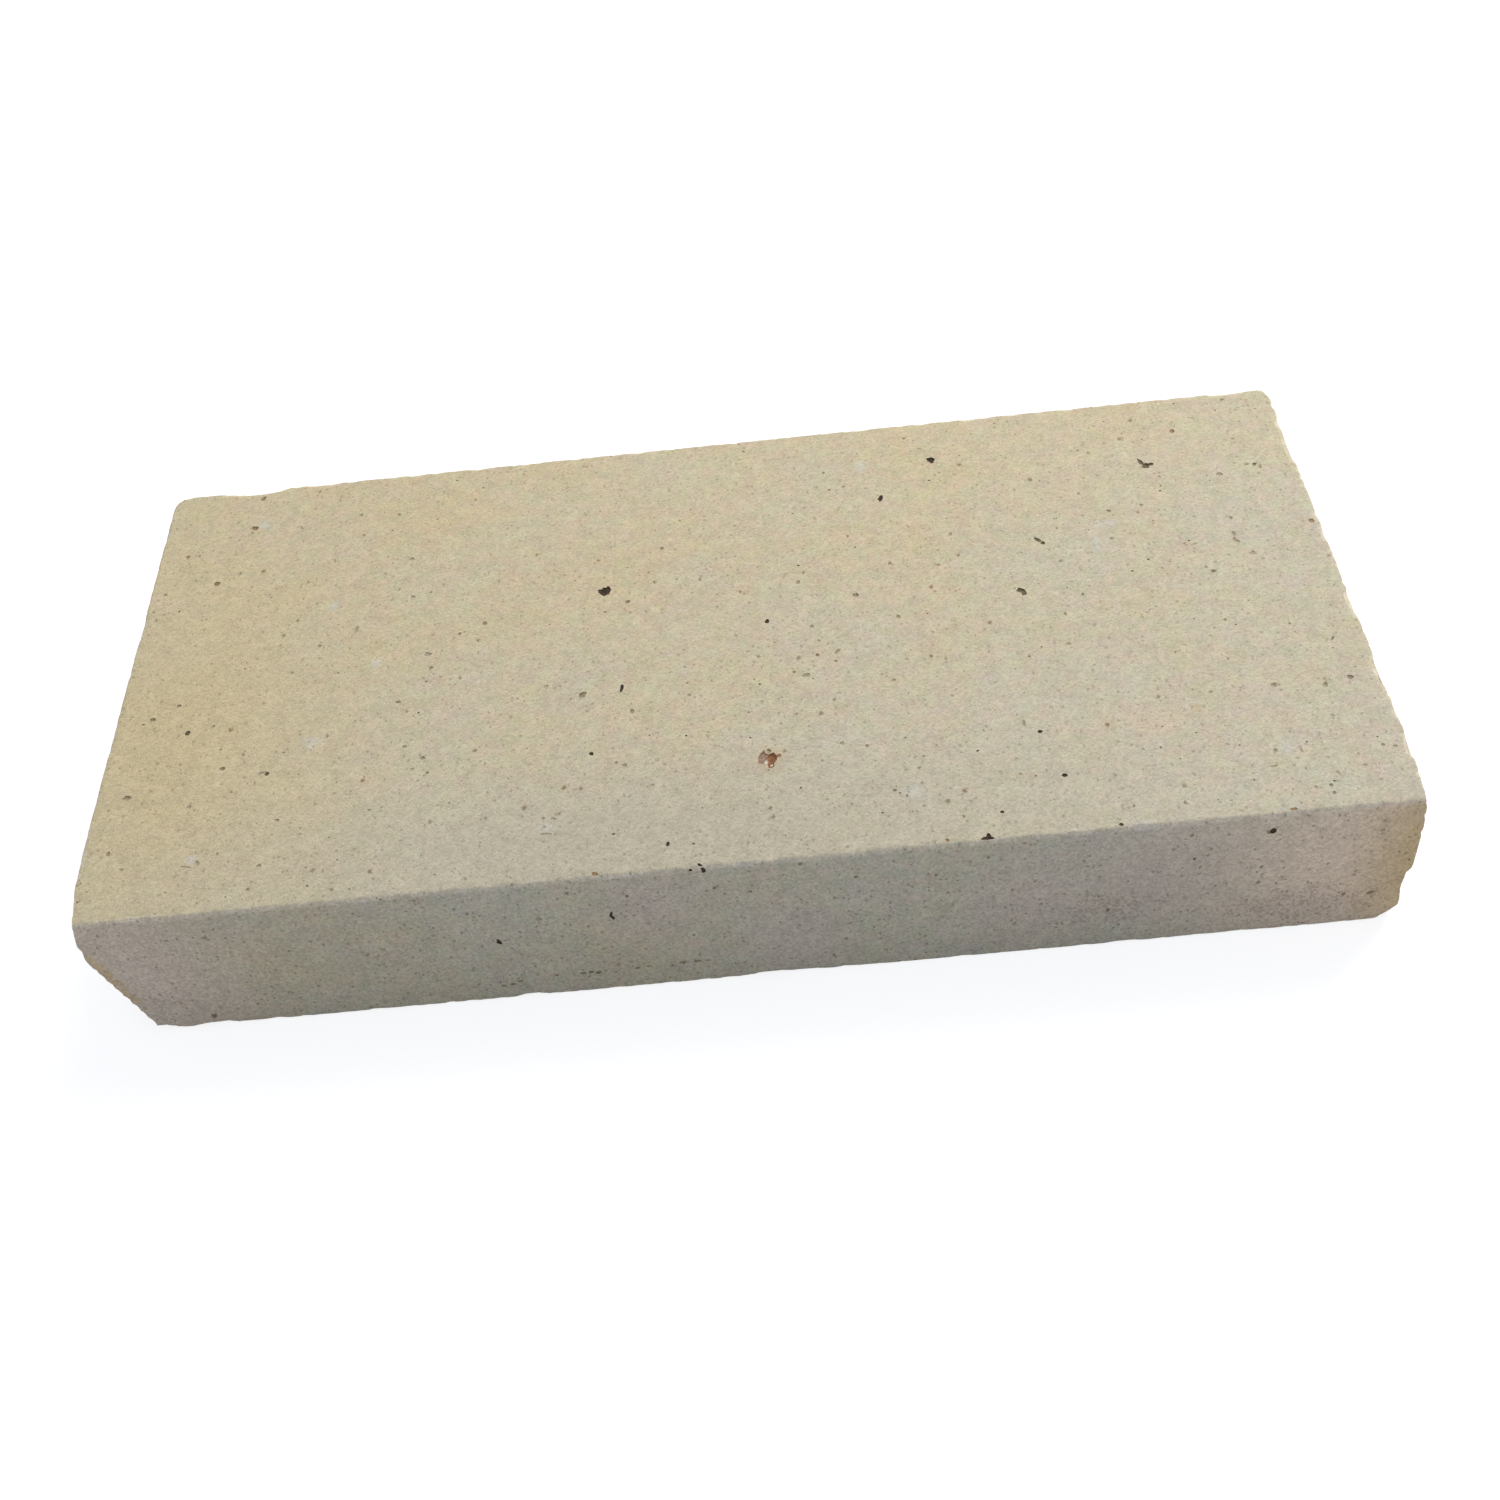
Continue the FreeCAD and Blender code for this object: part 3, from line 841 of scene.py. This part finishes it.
# The pale line on the rounding of the top edges is partly rubbed wear, partly a painted highlight.
RUBBED_EDGE_AND_HIGHLIGHT = (0.77, 0.66, 0.485, 1)
RUB_HIGHLIGHT_LEAST, RUB_HIGHLIGHT_MOST = 0.4, 0.75
RUB_HIGHLIGHT_WEAR = (0.04, 0.20)
RUB_HIGHLIGHT_PATCHES = (0.4, 0.6)
RUB_HIGHLIGHT_STARTS = (0.03 * MM, 0.20 * MM)
RUB_HIGHLIGHT_ENDS = (0.3 * MM, 1.6 * MM)
BREAK_DIRT = (0.42, 0.31, 0.17, 1)
BREAK_DIRT_STRENGTH = 0.7
DIRT_PATCHES = (0.35, 0.6)
SAND_SPREAD, WALL_SAND_SPREAD = 0.12, 0.16
BLOTCH_SPREAD = 0.05


def brick_number(tree, name):
    """One of the numbers that the brick's own mesh carries."""
    return put(tree, "ShaderNodeAttribute", attribute_name=name).outputs["Fac"]


def mottled(tree, position, warmth, pinkness):
    """The fired colour, shifted a little between warm and cool and between pink and green."""
    colour = tint(tree, firing_and_light_tone(tree, position), YELLOW_CLAY, GREY_CLAY)
    for level, first, second in ((warmth, WARM, COOL), (pinkness, PINK, GREEN)):
        shift = tint(tree, span(tree, level, MOTTLE_LOW, MOTTLE_HIGH), first, second)
        colour = tint(tree, 1.0, colour, shift, "MULTIPLY")
    return colour


def rubbed_and_highlit(tree, position, warmth, colour):
    """Pales the rounding of the top edges and the wall just under it, in patches: partly rubbed wear,
    partly a painted highlight.
    """
    height = put(tree, "ShaderNodeSeparateXYZ", {0: position}).outputs["Z"]
    below_top = sums(tree, "SUBTRACT", high.z, height)
    off_flat = span(tree, below_top, *RUB_HIGHLIGHT_STARTS)
    near_top = span(tree, below_top, *RUB_HIGHLIGHT_ENDS, 1.0, 0.0)
    worn = span(tree, brick_number(tree, "wear"), *RUB_HIGHLIGHT_WEAR)
    share = sums(tree, "MULTIPLY", worn, sums(tree, "MULTIPLY", near_top, off_flat))
    patches = span(tree, warmth, *RUB_HIGHLIGHT_PATCHES, RUB_HIGHLIGHT_LEAST, RUB_HIGHLIGHT_MOST)
    return tint(tree, sums(tree, "MULTIPLY", share, patches), colour, RUBBED_EDGE_AND_HIGHLIGHT)


def dirtied(tree, blotch, colour):
    """Lays ochre dirt in the broken corners."""
    patches = span(tree, blotch, *DIRT_PATCHES, 0.0, BREAK_DIRT_STRENGTH)
    dirt = sums(tree, "MULTIPLY", patches, brick_number(tree, "broken"))
    return tint(tree, dirt, colour, BREAK_DIRT)


def sanded(tree, grain_shade, wall, blotch, colour):
    """Gives every grain its own shade, stronger on the walls, and every blotch a little of one."""
    spread = span(tree, wall, 0.0, 1.0, 2 * SAND_SPREAD, 2 * WALL_SAND_SPREAD)
    shade = sums(tree, "SUBTRACT", grain_shade, MIDDLE)
    sand = sums(tree, "ADD", sums(tree, "MULTIPLY", shade, spread), 1.0)
    blotches = span(tree, blotch, MOTTLE_LOW, MOTTLE_HIGH, 1 - BLOTCH_SPREAD, 1 + BLOTCH_SPREAD)
    return tint(tree, 1.0, colour, sums(tree, "MULTIPLY", sand, blotches), "MULTIPLY")


# %% Sandy clay
FAINT_SPECK, WALL_SPECK = (0.70, 0.69, 0.66, 1), (0.60, 0.58, 0.56, 1)
STAIN_SPECK, STAINED_GRAINS = (0.92, 0.885, 0.86, 1), 0.6
BROWN_SPECK, PALE_CRUMB = (0.52, 0.45, 0.36, 1), (1.13, 1.14, 1.18, 1)
CRUMB_SHARE = 0.35
WALL_CRUMBS = 0.5
FINE_SPECKS = {"Speck Spacing": 1.0 * MM, "Speck Size": 0.38 * MM}
COARSE_SPECKS = {"Speck Spacing": 3.3 * MM, "Speck Size": 0.62 * MM}
SPOT_SHAKE = (2 * MM, 1.6 * MM)
SPECK_SHAKE = (0.4 * MM, 0.5 * MM)
GRAIN_SIZE = 0.37 * MM
GRAIN_SQUEEZE = (1.0, 0.84, 0.84)
GRAIN_DEPTH = 0.08 * MM
CLAY_ROUGHNESS = 0.92


def fine_specks(tree, fine, wall, stained, colour):
    """Many faint specks, darker on the walls, and brown grains where a wall is stained."""
    colour = tint(tree, fine["Specks"], colour, tint(tree, wall, FAINT_SPECK, WALL_SPECK), "MULTIPLY")
    limit = sums(tree, "MULTIPLY", sums(tree, "MULTIPLY", stained, wall), STAINED_GRAINS)
    return tint(tree, sums(tree, "LESS_THAN", fine["Shade"], limit), colour, STAIN_SPECK, "MULTIPLY")


def coarse_specks(tree, coarse, wall, colour):
    """A few brown specks and pale crumbs, weaker on the walls."""
    is_crumb = sums(tree, "LESS_THAN", coarse["Speck Kind"], CRUMB_SHARE)
    shade = tint(tree, is_crumb, BROWN_SPECK, PALE_CRUMB)
    share = sums(tree, "MULTIPLY", coarse["Specks"], span(tree, wall, 0.0, 1.0, 1.0, WALL_CRUMBS))
    return tint(tree, share, colour, shade, "MULTIPLY")


def sandy_clay():
    """The clay of the brick itself, layer over layer."""
    material, tree, shader, position = new_material("sandy_clay", CLAY_ROUGHNESS)
    mottle = cloud(tree, position, MOTTLE_LENGTH, MOTTLE_DETAIL).outputs["Color"]
    blotch, warmth, pinkness = put(tree, "ShaderNodeSeparateColor", {0: mottle}).outputs
    wall = brick_number(tree, "wall")
    spot_position = shaken(tree, position, *SPOT_SHAKE)
    stained = spot_mask(tree, spot_position, "front", SPECKLED)
    squeezed = vectors(tree, "MULTIPLY", position, GRAIN_SQUEEZE)
    ragged = shaken(tree, squeezed, *SPECK_SHAKE)
    inputs = {"Position": squeezed, "Grain Size": GRAIN_SIZE, "Speck Position": ragged}
    fine = grain_of(tree, {**inputs, **FINE_SPECKS})
    coarse = grain_of(tree, {**inputs, **COARSE_SPECKS})

    colour = mottled(tree, position, warmth, pinkness)
    colour = spots_over(tree, spot_position, wall, colour)
    colour = rubbed_and_highlit(tree, position, warmth, colour)
    colour = dirtied(tree, blotch, colour)
    colour = sanded(tree, fine["Shade"], wall, blotch, colour)
    colour = fine_specks(tree, fine, wall, stained, colour)
    colour = coarse_specks(tree, coarse, wall, colour)
    feed(tree, shader.inputs["Base Color"], colour)
    relief(tree, shader, fine["Height"], GRAIN_DEPTH)
    return material


# %% [markdown]
# Inside the holes the clay is darker: for the grey-brown and pale pits partly as painted shade
# of the hollow, for the others as the colour of iron and stains. The same shared grain mixes two
# colours for each kind, so that even a hole of half a millimetre isn't one flat tone.

# %% Finishes of the holes
HOLE_COLOURS = {
    "iron_hole": ((0.030, 0.020, 0.012, 1), (0.080, 0.055, 0.032, 1)),
    "brown_pit": ((0.095, 0.070, 0.038, 1), (0.190, 0.145, 0.085, 1)),
    # The clay and faint pits are darker partly as painted shade inside the hollow.
    "clay_pit": ((0.230, 0.180, 0.105, 1), (0.380, 0.315, 0.200, 1)),
    "faint_pit": ((0.320, 0.268, 0.170, 1), (0.470, 0.402, 0.272, 1)),
    "red_spot": ((0.210, 0.120, 0.058, 1), (0.360, 0.240, 0.135, 1)),
    "rusty_lump": ((0.130, 0.050, 0.018, 1), (0.330, 0.150, 0.065, 1)),
    "pink_lump": ((0.220, 0.125, 0.080, 1), (0.400, 0.270, 0.190, 1)),
    "pale_fleck": ((0.660, 0.520, 0.430, 1), (0.780, 0.680, 0.600, 1)),
}
HOLE_ROUGHNESS = 0.85
HOLE_GRAIN_SIZE, HOLE_GRAIN_DEPTH = 0.5 * MM, 0.1 * MM


def hole_finish(name):
    """The inside of one kind of hole: grains between a dark and a light colour, without specks."""
    dark, light = HOLE_COLOURS[name]
    material, tree, shader, position = new_material(name, HOLE_ROUGHNESS)
    grain = grain_of(tree, {"Position": position, "Grain Size": HOLE_GRAIN_SIZE})
    feed(tree, shader.inputs["Base Color"], tint(tree, grain["Shade"], dark, light))
    relief(tree, shader, grain["Height"], HOLE_GRAIN_DEPTH)
    return material


finishes = {"sandy_clay": sandy_clay(), **{name: hole_finish(name) for name in HOLE_COLOURS}}
print("finishes:", list(finishes))

# %% [markdown]
# One tree cuts all the holes. Balls are placed on the listed marks and, by a seeded scatter, all
# over the brick for the many small ones. A noise makes them ragged by swelling and shrinking
# them about their own middle, which never folds them, and a boolean takes them out of the net.
# Each face carries the number of its finish, so the new walls know what they are when the
# materials are set at the end. The new points of a cut know nothing of the wear around them, so
# they ask the nearest place of the uncut brick for it.

# %% Holes
SURFACE_NUMBERS = ("wall", "wear", "broken")
RAGGED_SCALE, RAGGED_DETAIL = 1.3 / MM, 1.0
LISTED_ROUNDNESS, SMALL_ROUNDNESS = 2, 1
SMALL_BIAS = 2.0
SMALL_WIDTH, SMALL_DEPTH = 0.8, 0.7


def holes():
    """The tree that cuts every hole and sets the finishes."""
    inputs = {"Geometry": "Geometry", "Marks": "Object", "Spacing": "Float", "Density": "Float",
              "Smallest": "Float", "Largest": "Float", "Raggedness": "Float", "Iron Share": "Float",
              "Dark Share": "Float", "Seed": "Int", **{name: "Material" for name in FINISHES}}
    tree, given, result = new_tree("holes", inputs, {"Geometry": "Geometry"})

    def is_number(name, number):
        """True where a whole-number attribute has this value."""
        inputs = {2: carried(tree, name, "INT"), 3: number}
        node = put(tree, "FunctionNodeCompare", inputs, data_type="INT", operation="EQUAL")
        return node.outputs[0]

    def store(geometry, name, value, kind, domain):
        """The geometry with a value stored on it."""
        inputs = {"Geometry": geometry, "Name": name, "Value": value}
        node = put(tree, "GeometryNodeStoreNamedAttribute", inputs, data_type=kind, domain=domain)
        return node.outputs["Geometry"]

    def ragged(geometry):
        """Balls that a noise has swollen and shrunk about their own middles."""
        inputs = {"Scale": RAGGED_SCALE, "Detail": RAGGED_DETAIL}
        noise = put(tree, "ShaderNodeTexNoise", inputs).outputs[0]
        push = sums(tree, "MULTIPLY", sums(tree, "SUBTRACT", noise, MIDDLE), given["Raggedness"])
        place = put(tree, "GeometryNodeInputPosition").outputs["Position"]
        outward = vectors(tree, "SUBTRACT", place, carried(tree, "centre", "FLOAT_VECTOR"))
        inputs = {"Geometry": geometry, "Offset": scaled(tree, outward, push)}
        return put(tree, "GeometryNodeSetPosition", inputs).outputs["Geometry"]

    def cut(body, points, roundness, rotation):
        """The body with a ragged ball taken out at every point."""
        ball = put(tree, "GeometryNodeMeshIcoSphere", {"Radius": 1.0, "Subdivisions": roundness})
        place = put(tree, "GeometryNodeInputPosition").outputs["Position"]
        balls = put(tree, "GeometryNodeInstanceOnPoints", {
            "Points": store(points, "centre", place, "FLOAT_VECTOR", "POINT"),
            "Instance": ball.outputs["Mesh"], "Rotation": rotation,
            "Scale": carried(tree, "half_sizes", "FLOAT_VECTOR"),
        })
        real = put(tree, "GeometryNodeRealizeInstances", {"Geometry": balls.outputs["Instances"]})
        plugs = ragged(real.outputs["Geometry"])
        plugs = store(plugs, "finish", carried(tree, "finish", "INT"), "INT", "FACE")
        inputs = {"Mesh 1": body, "Mesh 2": plugs}
        return put(tree, "GeometryNodeMeshBoolean", inputs,
                   operation="DIFFERENCE", solver="MANIFOLD").outputs["Mesh"]

    def chance(seed):
        """A random number from 0 to 1 for each point."""
        return put(tree, "FunctionNodeRandomValue", {"Seed": seed}, data_type="FLOAT").outputs["Value"]

    def scattered(body):
        """Points all over the body with the sizes and finishes of small holes, and their rotation."""
        spread = put(tree, "GeometryNodeDistributePointsOnFaces", {
            "Mesh": body, "Distance Min": given["Spacing"],
            "Density Max": given["Density"], "Seed": given["Seed"],
        }, distribute_method="POISSON")
        small_more_often = sums(tree, "POWER", chance(given["Seed"]), SMALL_BIAS)
        length = put(tree, "ShaderNodeMapRange", {
            "Value": small_more_often,
            "To Min": given["Smallest"], "To Max": given["Largest"],
        }).outputs[0]
        half_sizes = put(tree, "ShaderNodeCombineXYZ", {
            "X": length, "Y": sums(tree, "MULTIPLY", length, SMALL_WIDTH),
            "Z": sums(tree, "MULTIPLY", length, SMALL_DEPTH),
        }).outputs[0]
        # Iron holes, clay pits and faint pits follow one another in FINISHES.
        draw = chance(sums(tree, "ADD", given["Seed"], 1))
        not_iron = sums(tree, "GREATER_THAN", draw, given["Iron Share"])
        not_dark = sums(tree, "GREATER_THAN", draw, given["Dark Share"])
        kind = sums(tree, "ADD", sums(tree, "ADD", not_iron, not_dark), FINISHES.index("iron_hole"))
        points = spread.outputs["Points"]
        for name in SURFACE_NUMBERS:
            inputs = {"Geometry": points, "Name": name}
            points = put(tree, "GeometryNodeRemoveAttribute", inputs).outputs["Geometry"]
        points = store(points, "half_sizes", half_sizes, "FLOAT_VECTOR", "POINT")
        points = store(points, "finish", kind, "INT", "POINT")
        return points, spread.outputs["Rotation"]

    body = store(given["Geometry"], "finish", 0, "INT", "FACE")
    listed = put(tree, "GeometryNodeObjectInfo", {"Object": given["Marks"]})
    listed_points = put(tree, "GeometryNodeMeshToPoints", {"Mesh": listed.outputs["Geometry"]})
    rotation = put(tree, "FunctionNodeEulerToRotation", {0: carried(tree, "rotation", "FLOAT_VECTOR")})
    small_points, small_rotation = scattered(body)
    carved = body
    for number in range(cut_turns):
        inputs = {"Geometry": listed_points.outputs["Points"], "Selection": is_number("cut_turn", number)}
        due = put(tree, "GeometryNodeSeparateGeometry", inputs)
        carved = cut(carved, due.outputs["Selection"], LISTED_ROUNDNESS, rotation.outputs[0])
    carved = cut(carved, small_points, SMALL_ROUNDNESS, small_rotation)
    for name in ("wear", "broken"):
        inputs = {"Mesh": body, "Value": carried(tree, name)}
        uncut = put(tree, "GeometryNodeSampleNearestSurface", inputs, data_type="FLOAT")
        carved = store(carved, name, uncut.outputs["Value"], "FLOAT", "POINT")
    dressed = put(tree, "GeometryNodeRealizeInstances", {"Geometry": carved}).outputs["Geometry"]
    for number, name in enumerate(FINISHES):
        inputs = {"Geometry": dressed, "Selection": is_number("finish", number),
                  "Material": given[name]}
        dressed = put(tree, "GeometryNodeSetMaterial", inputs).outputs["Geometry"]
    feed(tree, result["Geometry"], dressed)
    return tree


run_tree(brick, holes(), {
    "Marks": marks, "Spacing": 2.5 * MM, "Density": 10000.0, "Smallest": 0.13 * MM,
    "Largest": 0.32 * MM, "Raggedness": 1.8, "Iron Share": 0.05, "Dark Share": 0.35, "Seed": 5,
    **finishes,
})
bpy.data.objects.remove(marks)

# %% [markdown]
# The finished mesh is shaded smooth, with sharp lines only where two faces meet at a real
# corner and round the rim of every hole, where one finish ends and another starts. Without them
# a shallow hole would bend the light over the flat clay around it. The helper numbers that only
# the trees needed are dropped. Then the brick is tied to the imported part: it rides on the one
# body and stands for the solid.

# %% Dressing the part
SHARP_ANGLE = math.radians(38)
HELPER_NUMBERS = ("half_sizes", "rotation", "finish", "cut_turn", "centre", "id")

for name in HELPER_NUMBERS:
    if name in brick.data.attributes:
        brick.data.attributes.remove(brick.data.attributes[name])
for number in reversed(range(len(brick.data.materials))):
    if brick.data.materials[number] is None:
        brick.data.materials.pop(index=number)
brick.data.shade_smooth()
brick.data.set_sharp_from_angle(angle=SHARP_ANGLE)
rims = bmesh.new()
rims.from_mesh(brick.data)
for edge in rims.edges:
    if len({face.material_index for face in edge.link_faces}) > 1:
        edge.smooth = False
rims.to_mesh(brick.data)
open_edges = sum(not edge.is_manifold for edge in rims.edges)
rims.free()
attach(brick, "root")
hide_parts(BRICK)
brick.data.calc_loop_triangles()
print("brick:", len(brick.data.loop_triangles), "triangles,", len(brick.data.materials), "finishes,",
      open_edges, "open edges")

# %% [markdown]
# The stage is a pale floor that reads as white in the picture but still takes the brick's soft
# shadow. Light that comes back from the floor is what brightens the front face, so for that
# light the floor is a plain pale card, and only what the camera sees directly, or through a
# reflection, is whiter.

# %% Floor and world
FLOOR_SIDE = 6.0
FLOOR_GAP = 0.05 * MM
CARD = (0.77, 0.79, 0.85, 1)
SHOWN_CARD = (0.40, 0.40, 0.40, 1)
WHITE = (1.0, 1.0, 1.0, 1)
SKY = (0.87, 0.95, 1.12, 1)
SKY_STRENGTH = 0.49
SHOWN_GLOW = 0.80


def shown_rays(tree):
    """1 for what the camera sees, directly, mirrored or through glass."""
    path = put(tree, "ShaderNodeLightPath")
    mirrored = sums(tree, "MAXIMUM", path.outputs["Is Glossy Ray"], path.outputs["Is Transmission Ray"])
    return sums(tree, "MAXIMUM", path.outputs["Is Camera Ray"], mirrored)


def floor_card():
    """A dull card for the light that it gives back, and near white for what sees it."""
    material, tree, shader, _ = new_material("floor_card", roughness=1.0, specular=0.0)
    shown = shown_rays(tree)
    feed(tree, shader.inputs["Base Color"], tint(tree, shown, CARD, SHOWN_CARD))
    shader.inputs["Emission Color"].default_value = WHITE
    feed(tree, shader.inputs["Emission Strength"], sums(tree, "MULTIPLY", shown, SHOWN_GLOW))
    return material


def floor_sheet():
    """A wide flat sheet just under the brick."""
    half = FLOOR_SIDE / 2
    level = low.z - FLOOR_GAP
    mesh = bpy.data.meshes.new("floor")
    corners = [(-half, -half, level), (half, -half, level), (half, half, level), (-half, half, level)]
    mesh.from_pydata(corners, [], [range(len(corners))])
    mesh.materials.append(floor_card())
    return bpy.data.objects.new("floor", mesh)


floor = floor_sheet()
bpy.context.scene.collection.objects.link(floor)

world = bpy.data.worlds.new("studio")
world.use_nodes = True
sky = world.node_tree.nodes["Background"]
shown = shown_rays(world.node_tree)
feed(world.node_tree, sky.inputs["Color"], tint(world.node_tree, shown, SKY, WHITE))
feed(world.node_tree, sky.inputs["Strength"], span(world.node_tree, shown, 0, 1, SKY_STRENGTH, 1.0))
bpy.context.scene.world = world
print("floor:", FLOOR_SIDE, "m wide, strength of the sky:", SKY_STRENGTH)

# %% [markdown]
# One large soft lamp hangs above and behind, to the right. Its strength is given as the share
# of full white that it puts on a card facing it at the brick, which keeps the colours about as
# they are written: a square lamp of P watts gives such a card P / (pi^2 * distance^2).

# %% Lamp
LAMP = "over_back_right"
LAMP_PLACE = Vector((0.40, 0.54, 0.76))
LAMP_WIDTH = 0.7
LAMP_STRENGTH = 0.90
LAMP_COLOUR = (1.0, 0.965, 0.90)

lamp = bpy.data.lights.new(LAMP, "AREA")
lamp.size = LAMP_WIDTH
lamp.color = LAMP_COLOUR
lamp.energy = LAMP_STRENGTH * math.pi ** 2 * (LAMP_PLACE - LOOK_AT).length_squared
holder = bpy.data.objects.new(LAMP, lamp)
holder.location = LAMP_PLACE
holder.rotation_mode = "QUATERNION"
holder.rotation_quaternion = (LOOK_AT - LAMP_PLACE).to_track_quat("-Z", "Y")
bpy.context.scene.collection.objects.link(holder)
print("lamp, watts:", round(lamp.energy, 2))
bpy.context.scene.view_settings.view_transform = "Standard"
